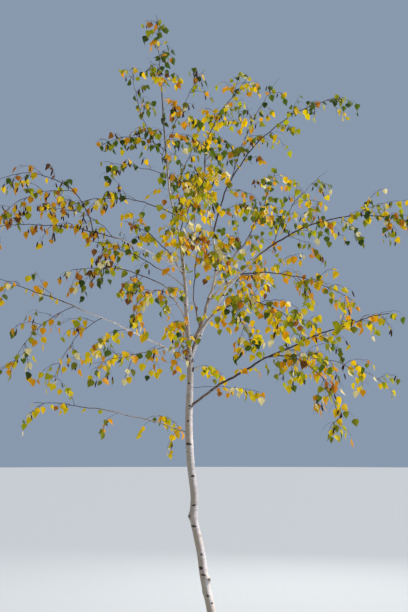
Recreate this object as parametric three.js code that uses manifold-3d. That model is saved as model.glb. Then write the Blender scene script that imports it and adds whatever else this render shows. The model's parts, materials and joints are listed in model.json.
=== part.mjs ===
// A young silver birch in autumn leaf: one leaning white trunk, thin rising boughs and an open crown.
// Millimetres, with +Z up, +X to the right of the photograph and +Y away from it.
// The foot of the trunk stands at the origin, cut flat at the ground.
import * as THREE from "three";
import { mergeVertices } from "three/addons/utils/BufferGeometryUtils.js";
import Module from "manifold-3d";

// Trunk: height, sway to the right, sway to the back, diameter.
const TRUNK = [
  [0, 0, 0, 66],
  [330, -24, 6, 57],
  [655, -77, 10, 52],
  [820, -114, 8, 51],
  [985, -138, 4, 49],
  [1090, -160, 0, 47.5],
  [1195, -181, -4, 46],
  [1320, -177, -6, 46],
  [1495, -199, -4, 45.5],
  [1755, -212, 4, 44.5],
  [1950, -206, 8, 40],
  [2075, -205, 6, 37.5],
  [2230, -214, 0, 33.5],
  [2410, -228, -6, 27],
  [2585, -235, -4, 21],
  [2780, -257, 4, 18],
  [2975, -285, 10, 14.5],
  [3170, -332, 6, 12],
  [3350, -353, 0, 10.5],
  [3615, -376, -6, 8.5],
  [3855, -392, -4, 7],
];
const TRUNK_SIDES = 10;
const TRUNK_STEP = 150;
const FLARE = 15; // how far the root flare stands out at the ground
const FLARE_HEIGHT = 75; // it fades with height at this rate
const FLARE_LOBES = 5;
const FLARE_LOBE_DEPTH = 0.28;

// Boughs and stems. Each is one arc: place along its parent (height on the trunk), direction seen from
// above (0 is right, 90 is back), swing of that direction, rise at its start and its end, length,
// diameter at its start and its end, share of its length that is bare, length of its side twigs,
// and how thick its foliage is.
const COLUMNS = [
  "name", "parent", "at", "azimuth", "swing", "rise", "riseEnd", "length",
  "base", "tip", "bare", "spread", "fullness",
];
const LIMBS = [
  ["centre", "trunk", 2150, 50, 0, 62, 69, 640, 22, 15.5, 1, 0, 0],
  ["right_main", "trunk", 2130, 11, -12, 68, -20, 1900, 17, 4, 0.5, 270, 1],
  ["low_right", "trunk", 1850, -20, 5, 34.5, 12, 1330, 16, 4, 0.44, 230, 1.1],
  ["low_left", "trunk", 2122, 200, -10, 27, 16, 1255, 13, 3, 0.64, 230, 0.6],
  ["lowest_left", "trunk", 1690, 160, 10, 19, 3, 1055, 9, 3, 0.62, 260, 0.55],
  ["left_main", "trunk", 2685, 188, 0, 34, -12, 1275, 10, 3, 0.52, 190, 0.9],
  ["left_middle", "trunk", 2475, 215, -15, 39, -17, 790, 8, 3, 0.35, 230, 1],
  ["left_back", "trunk", 2585, 155, 0, 40, 16, 795, 8, 3, 0.35, 230, 0.9],
  ["upper_left", "trunk", 3055, 197, 0, 26, -26, 700, 7, 3, 0.3, 210, 1],
  ["back_left", "trunk", 2645, 142, 0, 60, 22, 700, 8, 3, 0.3, 240, 0.9],
  ["front_left", "trunk", 2350, 245, 0, 51, -58, 800, 9, 3, 0.32, 240, 0.9],
  ["front_right", "trunk", 2220, -55, 0, 44, -42, 1080, 11, 3, 0.42, 260, 1],
  ["front_high", "trunk", 2920, -75, 0, 36, -30, 800, 7, 3, 0.25, 230, 0.9],
  ["centre_high", "centre", 640, 180, -190, 88, 49, 1630, 14, 3, 0.3, 250, 1.15],
  ["centre_right", "centre", 610, 55, -10, 32, 72, 1150, 12, 3, 0.25, 270, 1.1],
  ["back_right", "centre", 395, 65, 0, 36, 3, 1100, 10, 3, 0.3, 280, 1],
  ["inner", "centre", 225, 225, 120, 62, 80, 640, 9, 3, 0.45, 190, 0.7],
  ["upper_right", "centre_high", 220, -10, 20, 83, 15, 1395, 11, 3, 0.34, 220, 0.85],
  ["left_rising", "left_main", 620, 165, 10, 82, -28, 905, 7, 3, 0.38, 200, 1],
  ["right_middle", "right_main", 640, -15, 0, 5, -37, 740, 8, 3, 0.2, 270, 1.1],
  ["low_left_side", "low_left", 185, 235, 0, -15, -11, 650, 6, 3, 0, 220, 0.7],
  ["left_front", "left_main", 495, 205, 10, 51, -24, 485, 5, 3, 0, 190, 0.9],
  ["left_rising_low", "left_rising", 305, 195, 0, 5, -50, 490, 4.5, 3, 0, 180, 1],
  ["high_left_back", "trunk", 3315, 150, 0, 24, 14, 540, 5, 3, 0, 150, 0.7],
  ["high_left", "trunk", 3475, 190, 0, 41, -37, 435, 5, 3, 0, 160, 1.1],
  ["high_left_rising", "trunk", 3400, 205, -20, 50, 88, 655, 5, 3, 0, 170, 0.9],
  ["high_right", "trunk", 3485, 20, 0, 73, 59, 620, 5, 3, 0, 180, 1],
  ["high_front", "trunk", 3165, -50, 0, 46, 64, 530, 6, 3, 0, 200, 1],
  ["upper_right_fork", "upper_right", 420, 25, 0, 75, 56, 760, 6, 3, 0, 210, 1],
  ["right_rising", "right_main", 930, 40, 0, 65, 35, 690, 6, 3, 0, 230, 1],
  ["low_right_front", "low_right", 555, -46, 0, 10, -88, 790, 7, 3, 0, 240, 1],
  ["low_right_back", "low_right", 575, 30, 0, 8, -23, 925, 7, 3, 0, 250, 1],
  ["low_front", "trunk", 2195, 262, 0, 25, -40, 400, 5, 3, 0, 190, 0.8],
  ["trunk_front", "trunk", 2700, 265, 20, 52, 5, 460, 5, 3, 0, 210, 1.1],
  ["low_left_hanging", "low_left", 600, 215, -10, -25, -80, 480, 5, 3, 0, 220, 0.8],
  ["trunk_middle", "trunk", 3040, -15, 0, 62, 35, 440, 5, 3, 0, 200, 1.1],
  ["centre_front", "centre_high", 70, -85, 0, 36, -52, 500, 5, 3, 0, 220, 1],
  ["leader", "trunk", 3855, 176, -30, 84, 88, 565, 6, 3, 0, 130, 1.2],
  ["low_left_end", "low_left", 780, 185, 0, -20, -75, 560, 5, 3, 0, 210, 0.8],
  ["front_right_low", "front_right", 395, -58, 0, -8, -78, 440, 5, 3, 0, 220, 1],
].map((row) => Object.fromEntries(row.map((value, i) => [COLUMNS[i], value])));
const LIMB_STEPS = 12; // an arc's own steps
const LATE_BEND = { right_main: 1.4 }; // limbs whose rise changes slowly at first, and by what power
const BOUGH_STEP = 150;
const BOUGH_SIDES = 6;
const STEM_STEP = 190;
const STEM_SIDES = 4;

// Side twigs, along each stem on the golden angle.
const TWIG_SPACING = 128;
const GOLDEN_ANGLE = 137.5;
const TWIG_LEAN = [42, 66]; // angle between a twig's start and its stem
const TWIG_DROOP = 0.6; // how much each half of a twig turns to the ground
const TWIG_STEPS = 2;
const TWIG_SHORTENING = 0.4; // how much shorter twigs are at the stem's tip
const TWIG_BASE = 3.4;
const TWIG_TIP = 1.8;
const CLEAR_CHECKS = [0.1, 0.2, 0.3, 0.4, 0.5, 0.6, 0.7, 0.8, 0.9, 1]; // shares of a twig that are tested

// Leaves, each with its stalk, larger than life because they are fewer.
const LEAF_LENGTH = 92;
const LEAF_WIDTH = 66;
const LEAF_THICKNESS = 1.8;
const LEAF_WIDEST = 0.52; // share of the length from the twig to the widest place
const LEAF_SPACING = 75;
const LEAF_HANG = 0.85; // how much a leaf hangs straight down
const LEAF_TRIES = 6; // ways that a leaf may turn before its place is left empty
const TIP_LEAVES = [2, 14]; // how far back from a stem's tip its last leaves grow
const LEAF_ROOM = 56; // between the middles of two leaves

// Catkins, one on some twigs.
const CATKIN_LENGTH = 34;
const CATKIN_DIAMETER = 9;
const CATKIN_SHARE = 0.2; // share of twigs that carry one

// Room between solids.
const GAP = 0.3; // between pieces that touch
const MASS_MARGIN = 6; // between the spaces of two masses
const LIMB_MARGIN = 10; // from a leaf or twig to a limb that it doesn't grow on
const SLIVER = 0.02;
const TREE_SEED = 1907;
const REDRAWN = { low_left: 1, low_front: 1, right_middle: 1 }; // masses that take another draw

const COLOURS = {
  bark: "#d8d2c8",
  thinBark: "#8a7a6c",
  green: "#6f7f2f",
  yellow: "#d9a326",
};

const wasm = await Module();
wasm.setup();

const radians = THREE.MathUtils.degToRad;
const vector = (x, y, z) => new THREE.Vector3(x, y, z);
const mix = THREE.MathUtils.lerp;
const DOWN = vector(0, 0, -1);

// Seeded draws between 0 and 1. Each limb and twig has its own seed, so none depends on another.
function draws(...keys) {
  let state = TREE_SEED;
  for (const key of keys) state = (Math.imul(state ^ (key + 1), 0x9e3779b1) + 0x7f4a7c15) >>> 0;
  return () => {
    state = (state + 0x6d2b79f5) >>> 0;
    let t = Math.imul(state ^ (state >>> 15), state | 1);
    t = (t + Math.imul(t ^ (t >>> 7), t | 61)) ^ t;
    return ((t ^ (t >>> 14)) >>> 0) / 4294967296;
  };
}

// A line of points with its running lengths, read anywhere along it.
function lineOf(points) {
  const lengths = [0];
  for (let i = 1; i < points.length; i++) {
    lengths.push(lengths[i - 1] + points[i].distanceTo(points[i - 1]));
  }
  const total = lengths[lengths.length - 1];
  const find = (s) => {
    let i = 1;
    while (i < points.length - 1 && lengths[i] < s) i++;
    return i;
  };
  return {
    total,
    at(s) {
      const i = find(s);
      const t = (s - lengths[i - 1]) / (lengths[i] - lengths[i - 1]);
      return points[i - 1].clone().lerp(points[i], t);
    },
    along(s) {
      const a = this.at(Math.max(0, s - 20));
      return this.at(Math.min(total, s + 20)).sub(a).normalize();
    },
  };
}

// The trunk's axis and diameter at a height.
function trunkAt(height) {
  let i = 1;
  while (i < TRUNK.length - 1 && TRUNK[i][0] < height) i++;
  const rows = [i - 2, i - 1, i, i + 1].map((k) => TRUNK[Math.min(Math.max(k, 0), TRUNK.length - 1)]);
  const span = rows[2][0] - rows[1][0];
  const t = (height - rows[1][0]) / span;
  const smooth = (column) => {
    const slope = (a, b) => ((b[column] - a[column]) / (b[0] - a[0])) * span;
    const start = slope(rows[0], rows[2]);
    const end = slope(rows[1], rows[3]);
    const t2 = t * t;
    const t3 = t2 * t;
    return (2 * t3 - 3 * t2 + 1) * rows[1][column] + (t3 - 2 * t2 + t) * start +
      (3 * t2 - 2 * t3) * rows[2][column] + (t3 - t2) * end;
  };
  return { point: vector(smooth(1), smooth(2), height), diameter: smooth(3) };
}

// A limb's arc: its direction seen from above and its rise change evenly along it.
function arcOf(limb, start) {
  const points = [start.clone()];
  for (let i = 0; i < LIMB_STEPS; i++) {
    const s = (i + 0.5) / LIMB_STEPS;
    const azimuth = radians(limb.azimuth + limb.swing * s);
    const bend = s ** (LATE_BEND[limb.name] ?? 1);
    const rise = radians(mix(limb.rise, limb.riseEnd, bend));
    const step = vector(
      Math.cos(rise) * Math.cos(azimuth),
      Math.cos(rise) * Math.sin(azimuth),
      Math.sin(rise),
    );
    points.push(points[i].clone().addScaledVector(step, limb.length / LIMB_STEPS));
  }
  return lineOf(points);
}

const limbs = new Map();
LIMBS.forEach((limb, index) => {
  const parent = limbs.get(limb.parent);
  const start = parent ? parent.line.at(limb.at) : trunkAt(limb.at).point;
  limbs.set(limb.name, {
    ...limb,
    index,
    seed: index + 100 * (REDRAWN[limb.name] ?? 0),
    line: arcOf(limb, start),
    from: limb.length * limb.bare,
  });
});

const diameterAt = (limb, s) => mix(limb.base, limb.tip, s / limb.length);

// A closed body over rings of the same number of points, in order, that go round outwards.
function skin(rings) {
  const n = rings[0].length;
  const points = rings.flat();
  const index = [];
  for (let r = 0; r + 1 < rings.length; r++) {
    for (let i = 0; i < n; i++) {
      const a = r * n + i;
      const b = r * n + ((i + 1) % n);
      index.push(a, b, b + n, a, b + n, a + n);
    }
  }
  const last = (rings.length - 1) * n;
  for (let i = 1; i + 1 < n; i++) {
    index.push(0, i + 1, i);
    index.push(last, last + i, last + i + 1);
  }
  const shape = new THREE.BufferGeometry().setFromPoints(points);
  shape.setIndex(index);
  return shape;
}

// Rings about a line between two places on it, kept from twisting.
function tube(line, from, to, step, sides, radiusAt) {
  const count = Math.max(1, Math.ceil((to - from) / step));
  const rings = [];
  let across = null;
  for (let k = 0; k <= count; k++) {
    const s = mix(from, to, k / count);
    const along = line.along(Math.min(Math.max(s, 0), line.total));
    across = across || (Math.abs(along.z) > 0.9 ? vector(1, 0, 0) : vector(0, 0, 1));
    across = across.clone().addScaledVector(along, -across.dot(along)).normalize();
    const beside = along.clone().cross(across);
    const centre = line.at(s);
    rings.push(
      Array.from({ length: sides }, (_, i) => {
        const turn = (2 * Math.PI * i) / sides;
        return centre.clone()
          .addScaledVector(across, Math.cos(turn) * radiusAt(s))
          .addScaledVector(beside, Math.sin(turn) * radiusAt(s));
      }),
    );
  }
  return skin(rings);
}

function trunkSkin(extra) {
  const top = TRUNK[TRUNK.length - 1][0];
  const heights = [0, 30, 65, 115, 190];
  const count = Math.round((top - 300) / TRUNK_STEP);
  for (let k = 0; k <= count; k++) heights.push(mix(300, top, k / count));
  if (extra > 0) heights.push(top + extra);
  return skin(
    heights.map((height) => {
      const { point, diameter } = trunkAt(Math.min(height, top));
      const flare = FLARE * Math.exp(-height / FLARE_HEIGHT);
      return Array.from({ length: TRUNK_SIDES }, (_, i) => {
        const turn = (2 * Math.PI * i) / TRUNK_SIDES;
        const lobe = 1 + FLARE_LOBE_DEPTH * Math.cos(FLARE_LOBES * turn);
        const radius = diameter / 2 + flare * lobe + extra;
        return vector(point.x + Math.cos(turn) * radius, point.y + Math.sin(turn) * radius, height);
      });
    }),
  );
}

function boughSkin(limb, extra) {
  const start = limb.at >= (limbs.get(limb.parent)?.from ?? Infinity) ? -3 : 0;
  return tube(limb.line, start, limb.from + extra, BOUGH_STEP, BOUGH_SIDES,
    (s) => diameterAt(limb, Math.max(s, 0)) / 2 + extra);
}

// Solids to and from manifold-3d.
function solid(shape) {
  const merged = mergeVertices(shape.index ? shape : shape.clone(), 1e-4);
  return new wasm.Manifold(
    new wasm.Mesh({
      numProp: 3,
      vertProperties: merged.attributes.position.array,
      triVerts: new Uint32Array(merged.index.array),
    }),
  );
}

function largest(body) {
  return body.decompose().reduce((a, b) => (a.volume() > b.volume() ? a : b));
}

function geometry(body) {
  const mesh = body.getMesh();
  const shape = new THREE.BufferGeometry();
  shape.setAttribute("position", new THREE.BufferAttribute(new Float32Array(mesh.vertProperties), 3));
  shape.setIndex(Array.from(mesh.triVerts));
  const flat = shape.toNonIndexed();
  flat.computeVertexNormals();
  return flat;
}

const group = new THREE.Group();
group.name = "young_birch";

function add(name, body, colour, roughness) {
  const material = new THREE.MeshStandardMaterial({ color: colour, roughness, metalness: 0 });
  material.name = name;
  const mesh = new THREE.Mesh(geometry(body), material);
  mesh.name = name;
  group.add(mesh);
}

// Trunk and boughs, each cut clear of those before it.
const trunk = solid(trunkSkin(0));
add("trunk", trunk, COLOURS.bark, 0.8);
const inflated = [{ name: "trunk", body: solid(trunkSkin(GAP * 1.1)) }];

function cutClear(body) {
  return inflated.reduce((kept, other) => kept.subtract(other.body), body);
}

const boughs = [...limbs.values()].filter((limb) => limb.from > 0);
for (const limb of boughs) {
  const body = largest(cutClear(solid(boughSkin(limb, 0))));
  add("bough_" + limb.name, body, limb.base > 9 ? COLOURS.bark : COLOURS.thinBark, 0.8);
  inflated.push({ name: limb.name, body: solid(boughSkin(limb, GAP * 1.1)) });
}

// The space that each mass keeps to: what lies nearest to its own stem, clear of every limb.
const stems = [...limbs.values()].filter((limb) => limb.from < limb.length);
for (const limb of stems) {
  const count = Math.ceil((limb.length - limb.from) / 25);
  limb.marks = Array.from({ length: count + 1 }, (_, k) =>
    limb.line.at(mix(limb.from, limb.length, k / count)));
}
const limbMarks = [];
for (let height = 0; height <= TRUNK[TRUNK.length - 1][0]; height += 12) {
  const { point, diameter } = trunkAt(height);
  limbMarks.push({ point, clear: diameter / 2 + LIMB_MARGIN });
}
for (const limb of boughs) {
  for (let s = 0; s <= limb.from; s += 8) {
    limbMarks.push({ point: limb.line.at(s), clear: diameterAt(limb, s) / 2 + LIMB_MARGIN });
  }
}

function nearest(point, marks) {
  return Math.sqrt(marks.reduce((least, mark) => Math.min(least, mark.distanceToSquared(point)), Infinity));
}

function inSpace(limb, point) {
  if (limbMarks.some((mark) => mark.point.distanceTo(point) < mark.clear)) return false;
  const own = nearest(point, limb.marks);
  return stems.every((other) => other === limb || nearest(point, other.marks) > own + MASS_MARGIN);
}

// A side twig: a short droop in halves, away from its stem.
function twigLine(limb, k, count, random) {
  const share = (k + 0.35 + 0.3 * random()) / count;
  const s = mix(limb.from, limb.length, share);
  const along = limb.line.along(s);
  const level = along.clone().cross(Math.abs(along.z) > 0.95 ? vector(1, 0, 0) : DOWN).normalize();
  const upper = level.clone().cross(along);
  const roll = radians(GOLDEN_ANGLE * k + 71 * limb.index);
  const side = level.multiplyScalar(Math.cos(roll)).addScaledVector(upper, Math.sin(roll));
  const lean = radians(mix(TWIG_LEAN[0], TWIG_LEAN[1], random()));
  const heading = along.multiplyScalar(Math.cos(lean)).addScaledVector(side, Math.sin(lean));
  const length = limb.spread * (1 - TWIG_SHORTENING * share) * mix(0.75, 1.15, random());
  const points = [limb.line.at(s)];
  for (let i = 0; i < TWIG_STEPS; i++) {
    points.push(points[i].clone().addScaledVector(heading, length / TWIG_STEPS));
    heading.addScaledVector(DOWN, TWIG_DROOP).normalize();
  }
  return lineOf(points);
}

function twigSolid(line) {
  return solid(tube(line, 0, line.total, line.total / TWIG_STEPS + 1, 3,
    (s) => mix(TWIG_BASE, TWIG_TIP, s / line.total) / 2));
}

// A long body of as few faces as it takes: a root, a tip and a ring of corners between them.
function bipyramid(root, tip, ring) {
  const corners = [root, ...ring, tip];
  const last = corners.length - 1;
  const faces = [];
  ring.forEach((_, i) => {
    const a = 1 + i;
    const b = 1 + ((i + 1) % ring.length);
    faces.push(0, b, a, last, a, b);
  });
  const shape = new THREE.BufferGeometry().setFromPoints(corners);
  shape.setIndex(faces);
  return { shape, corners };
}

function leafOn(point, away, random) {
  const hang = vector(away.x, away.y, 0).multiplyScalar(1 - LEAF_HANG)
    .addScaledVector(DOWN, LEAF_HANG)
    .add(vector(mix(-0.45, 0.45, random()), mix(-0.45, 0.45, random()), mix(-0.1, 0.3, random())))
    .normalize();
  const turn = 2 * Math.PI * random();
  const flat = vector(Math.cos(turn), Math.sin(turn), 0);
  const beside = flat.addScaledVector(hang, -flat.dot(hang)).normalize();
  const thick = hang.clone().cross(beside);
  const size = mix(0.85, 1.12, random());
  const tip = point.clone().addScaledVector(hang, LEAF_LENGTH * size);
  const middle = point.clone().lerp(tip, LEAF_WIDEST);
  return bipyramid(point, tip, [
    middle.clone().addScaledVector(beside, (LEAF_WIDTH * size) / 2),
    middle.clone().addScaledVector(thick, LEAF_THICKNESS),
    middle.clone().addScaledVector(beside, (-LEAF_WIDTH * size) / 2),
  ]);
}

function leafClear(limb, leaf) {
  const [root, left, , right, tip] = leaf.corners;
  const middle = left.clone().lerp(right, 0.5);
  const halfway = [
    [middle, left], [middle, right], [middle, tip], [middle, root],
    [left, tip], [right, tip], [left, root], [right, root],
  ].map(([a, b]) => a.clone().lerp(b, 0.5));
  return [left, right, tip, middle, ...halfway].every((point) => inSpace(limb, point));
}

function catkinOn(point, random) {
  const hang = vector(mix(-0.25, 0.25, random()), mix(-0.25, 0.25, random()), -1).normalize();
  const beside = vector(1, 0, 0).addScaledVector(hang, -hang.x).normalize();
  const thick = hang.clone().cross(beside);
  const tip = point.clone().addScaledVector(hang, CATKIN_LENGTH);
  const middle = point.clone().lerp(tip, 0.5);
  const ring = [0, 120, 240].map((turn) =>
    middle.clone()
      .addScaledVector(beside, (Math.cos(radians(turn)) * CATKIN_DIAMETER) / 2)
      .addScaledVector(thick, (Math.sin(radians(turn)) * CATKIN_DIAMETER) / 2));
  return bipyramid(point, tip, ring);
}

function growLeaves(limb, line, pieces, middles, random) {
  const count = Math.max(2, Math.round(line.total / LEAF_SPACING));
  for (let i = 0; i <= count; i++) {
    const s = mix(line.total * 0.2, line.total * 0.985, i / count);
    const along = line.along(s);
    for (let tries = 0; tries < LEAF_TRIES; tries++) {
      const turn = radians(180 * ((i + tries) % 2) + mix(-60, 60, random()));
      const away = vector(-along.y, along.x, 0).normalize().multiplyScalar(Math.cos(turn))
        .addScaledVector(along, 0.6);
      const leaf = leafOn(line.at(s), away, random);
      const middle = leaf.corners[1].clone().lerp(leaf.corners[3], 0.5);
      if (!leafClear(limb, leaf) || nearest(middle, middles) < LEAF_ROOM) continue;
      middles.push(middle);
      pieces.push(solid(leaf.shape));
      break;
    }
  }
  if (random() < CATKIN_SHARE) {
    const catkin = catkinOn(line.at(line.total * 0.72), random);
    if (catkin.corners.slice(1).every((corner) => inSpace(limb, corner))) {
      pieces.push(solid(catkin.shape));
    }
  }
}

// Each mass: its stem, the twigs off it and their leaves, fused into one body.
for (const limb of stems) {
  const onBough = limb.from > 0;
  const start = onBough ? limb.from + GAP : 0;
  const stem = tube(limb.line, start, limb.length, STEM_STEP, STEM_SIDES, (s) => diameterAt(limb, s) / 2);
  const pieces = [largest(cutClear(solid(stem)))];
  const middles = [];
  const count = Math.max(2, Math.round(((limb.length - limb.from) / TWIG_SPACING) * limb.fullness));
  for (let k = 0; k < count; k++) {
    const random = draws(limb.seed, k);
    const line = twigLine(limb, k, count, random);
    if (!CLEAR_CHECKS.every((share) => inSpace(limb, line.at(line.total * share)))) continue;
    pieces.push(twigSolid(line));
    growLeaves(limb, line, pieces, middles, random);
  }
  const random = draws(limb.seed, 999);
  for (const back of TIP_LEAVES) {
    const leaf = leafOn(limb.line.at(limb.length - back), limb.line.along(limb.length), random);
    if (leafClear(limb, leaf)) pieces.push(solid(leaf.shape));
  }
  const body = largest(wasm.Manifold.union(pieces).simplify(SLIVER));
  add("mass_" + limb.name, body, limb.index % 3 ? COLOURS.yellow : COLOURS.green, 0.7);
}

export default group;
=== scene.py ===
"""A young silver birch in autumn leaf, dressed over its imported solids.

The limbs follow the same rule as the solids. From them grow twigs, side shoots, stalks, leaves and
catkins, all within the solids' reach. Lengths in the rule are millimetres; meshes are in metres.
"""
import itertools
import json
from math import ceil, cos, pi, radians, sin
from types import SimpleNamespace

import bpy
import numpy as np
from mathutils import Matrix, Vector, noise
from mathutils.kdtree import KDTree

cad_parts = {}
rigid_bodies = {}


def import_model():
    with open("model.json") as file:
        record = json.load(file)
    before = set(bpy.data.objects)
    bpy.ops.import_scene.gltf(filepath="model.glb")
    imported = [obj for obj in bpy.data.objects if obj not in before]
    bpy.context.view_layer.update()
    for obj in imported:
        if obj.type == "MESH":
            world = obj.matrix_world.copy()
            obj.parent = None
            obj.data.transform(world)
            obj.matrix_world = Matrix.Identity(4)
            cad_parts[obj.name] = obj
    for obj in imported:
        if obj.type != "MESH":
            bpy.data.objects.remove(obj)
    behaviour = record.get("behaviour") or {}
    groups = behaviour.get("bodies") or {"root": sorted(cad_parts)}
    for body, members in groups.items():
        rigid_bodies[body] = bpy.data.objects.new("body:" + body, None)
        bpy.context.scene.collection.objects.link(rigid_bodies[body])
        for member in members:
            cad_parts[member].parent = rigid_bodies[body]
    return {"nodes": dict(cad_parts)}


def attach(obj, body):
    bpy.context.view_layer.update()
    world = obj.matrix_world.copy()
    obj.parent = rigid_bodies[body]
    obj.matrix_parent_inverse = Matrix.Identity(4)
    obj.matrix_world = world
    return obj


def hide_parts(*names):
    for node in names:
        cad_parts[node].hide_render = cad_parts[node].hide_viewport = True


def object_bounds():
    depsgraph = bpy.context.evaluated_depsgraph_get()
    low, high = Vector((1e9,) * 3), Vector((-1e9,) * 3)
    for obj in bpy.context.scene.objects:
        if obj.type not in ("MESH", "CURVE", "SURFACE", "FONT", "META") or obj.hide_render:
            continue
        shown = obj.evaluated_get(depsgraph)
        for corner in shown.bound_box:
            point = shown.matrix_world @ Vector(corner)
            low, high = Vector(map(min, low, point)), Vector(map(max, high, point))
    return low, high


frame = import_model()
cad_low, cad_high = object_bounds()
scene = bpy.context.scene

MM = 0.001

# The rule of the solids. Trunk: height, sway to the right and to the back, diameter.
TRUNK = np.array([
    (0, 0, 0, 66), (330, -24, 6, 57), (655, -77, 10, 52), (820, -114, 8, 51), (985, -138, 4, 49),
    (1090, -160, 0, 47.5), (1195, -181, -4, 46), (1320, -177, -6, 46), (1495, -199, -4, 45.5),
    (1755, -212, 4, 44.5), (1950, -206, 8, 40), (2075, -205, 6, 37.5), (2230, -214, 0, 33.5),
    (2410, -228, -6, 27), (2585, -235, -4, 21), (2780, -257, 4, 18), (2975, -285, 10, 14.5),
    (3170, -332, 6, 12), (3350, -353, 0, 10.5), (3615, -376, -6, 8.5), (3855, -392, -4, 7),
], float)
FLARE, FLARE_HEIGHT, FLARE_LOBES, FLARE_LOBE_DEPTH = 15, 75, 5, 0.28

# Limbs: name, parent, place along it, azimuth, swing, rise, rise at the end, length, base and tip
# diameter, share that is bare, length of its twigs, fullness; then, for the looks alone: how many of
# its leaves still hang, and the mood of their colours.
LIMBS = [
    ("centre", "trunk", 2150, 50, 0, 62, 69, 640, 22, 15.5, 1, 0, 0, 1, "gold"),
    ("right_main", "trunk", 2130, 11, -12, 68, -20, 1900, 17, 4, 0.5, 270, 1, 0.65, "right"),
    ("low_right", "trunk", 1850, -20, 5, 34.5, 12, 1330, 16, 4, 0.44, 230, 1.1, 0.5, "gold"),
    ("low_left", "trunk", 2122, 200, -10, 27, 16, 1255, 13, 3, 0.64, 230, 0.6, 0.2, "gold"),
    ("lowest_left", "trunk", 1690, 160, 10, 19, 3, 1055, 9, 3, 0.62, 260, 0.55, 0.35, "gold"),
    ("left_main", "trunk", 2685, 188, 0, 34, -12, 1275, 10, 3, 0.52, 190, 0.9, 0.28, "left"),
    ("left_middle", "trunk", 2475, 215, -15, 39, -17, 790, 8, 3, 0.35, 230, 1, 0.42, "left"),
    ("left_back", "trunk", 2585, 155, 0, 40, 16, 795, 8, 3, 0.35, 230, 0.9, 0.38, "left"),
    ("upper_left", "trunk", 3055, 197, 0, 26, -26, 700, 7, 3, 0.3, 210, 1, 0.45, "left"),
    ("back_left", "trunk", 2645, 142, 0, 60, 22, 700, 8, 3, 0.3, 240, 0.9, 0.55, "gold"),
    ("front_left", "trunk", 2350, 245, 0, 51, -58, 800, 9, 3, 0.32, 240, 0.9, 0.8, "gold"),
    ("front_right", "trunk", 2220, -55, 0, 44, -42, 1080, 11, 3, 0.42, 260, 1, 0.9, "gold"),
    ("front_high", "trunk", 2920, -75, 0, 36, -30, 800, 7, 3, 0.25, 230, 0.9, 0.75, "mixed"),
    ("centre_high", "centre", 640, 180, -190, 88, 49, 1630, 14, 3, 0.3, 250, 1.15, 0.82, "olive"),
    ("centre_right", "centre", 610, 55, -10, 32, 72, 1150, 12, 3, 0.25, 270, 1.1, 0.85, "olive"),
    ("back_right", "centre", 395, 65, 0, 36, 3, 1100, 10, 3, 0.3, 280, 1, 0.7, "right"),
    ("inner", "centre", 225, 225, 120, 62, 80, 640, 9, 3, 0.45, 190, 0.7, 0.85, "mixed"),
    ("upper_right", "centre_high", 220, -10, 20, 83, 15, 1395, 11, 3, 0.34, 220, 0.85, 0.56, "green"),
    ("left_rising", "left_main", 620, 165, 10, 82, -28, 905, 7, 3, 0.38, 200, 1, 0.3, "left"),
    ("right_middle", "right_main", 640, -15, 0, 5, -37, 740, 8, 3, 0.2, 270, 1.1, 0.65, "gold"),
    ("low_left_side", "low_left", 185, 235, 0, -15, -11, 650, 6, 3, 0, 220, 0.7, 0.4, "gold"),
    ("left_front", "left_main", 495, 205, 10, 51, -24, 485, 5, 3, 0, 190, 0.9, 0.3, "left"),
    ("left_rising_low", "left_rising", 305, 195, 0, 5, -50, 490, 4.5, 3, 0, 180, 1, 0.3, "left"),
    ("high_left_back", "trunk", 3315, 150, 0, 24, 14, 540, 5, 3, 0, 150, 0.7, 0.4, "green"),
    ("high_left", "trunk", 3475, 190, 0, 41, -37, 435, 5, 3, 0, 160, 1.1, 0.42, "green"),
    ("high_left_rising", "trunk", 3400, 205, -20, 50, 88, 655, 5, 3, 0, 170, 0.9, 0.48, "green"),
    ("high_right", "trunk", 3485, 20, 0, 73, 59, 620, 5, 3, 0, 180, 1, 0.5, "green"),
    ("high_front", "trunk", 3165, -50, 0, 46, 64, 530, 6, 3, 0, 200, 1, 0.85, "olive"),
    ("upper_right_fork", "upper_right", 420, 25, 0, 75, 56, 760, 6, 3, 0, 210, 1, 0.4, "green"),
    ("right_rising", "right_main", 930, 40, 0, 65, 35, 690, 6, 3, 0, 230, 1, 0.38, "right"),
    ("low_right_front", "low_right", 555, -46, 0, 10, -88, 790, 7, 3, 0, 240, 1, 0.6, "gold"),
    ("low_right_back", "low_right", 575, 30, 0, 8, -23, 925, 7, 3, 0, 250, 1, 0.4, "gold"),
    ("low_front", "trunk", 2195, 262, 0, 25, -40, 400, 5, 3, 0, 190, 0.8, 0.3, "gold"),
    ("trunk_front", "trunk", 2700, 265, 20, 52, 5, 460, 5, 3, 0, 210, 1.1, 0.95, "mixed"),
    ("low_left_hanging", "low_left", 600, 215, -10, -25, -80, 480, 5, 3, 0, 220, 0.8, 0.4, "gold"),
    ("trunk_middle", "trunk", 3040, -15, 0, 62, 35, 440, 5, 3, 0, 200, 1.1, 0.9, "mixed"),
    ("centre_front", "centre_high", 70, -85, 0, 36, -52, 500, 5, 3, 0, 220, 1, 0.7, "mixed"),
    ("leader", "trunk", 3855, 176, -30, 84, 88, 565, 6, 3, 0, 130, 1.2, 0.68, "top"),
    ("low_left_end", "low_left", 780, 185, 0, -20, -75, 560, 5, 3, 0, 210, 0.8, 0.3, "gold"),
    ("front_right_low", "front_right", 395, -58, 0, -8, -78, 440, 5, 3, 0, 220, 1, 0.7, "gold"),
]
FIELDS = "name parent at azimuth swing rise rise_end length base tip bare spread fullness leafy mood".split()
REDRAWN = ("low_left", "low_front", "right_middle")  # limbs whose twigs have a second set of draws
LIMB_STEPS = 12
LATE_BEND = {"right_main": 1.4}  # power of the share of its length at which a limb bends, or 1
TWIG_SPACING = 128
GOLDEN_ANGLE = 137.5
LIMB_ROLL = 71  # from one limb's first twig to the next one's
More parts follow.
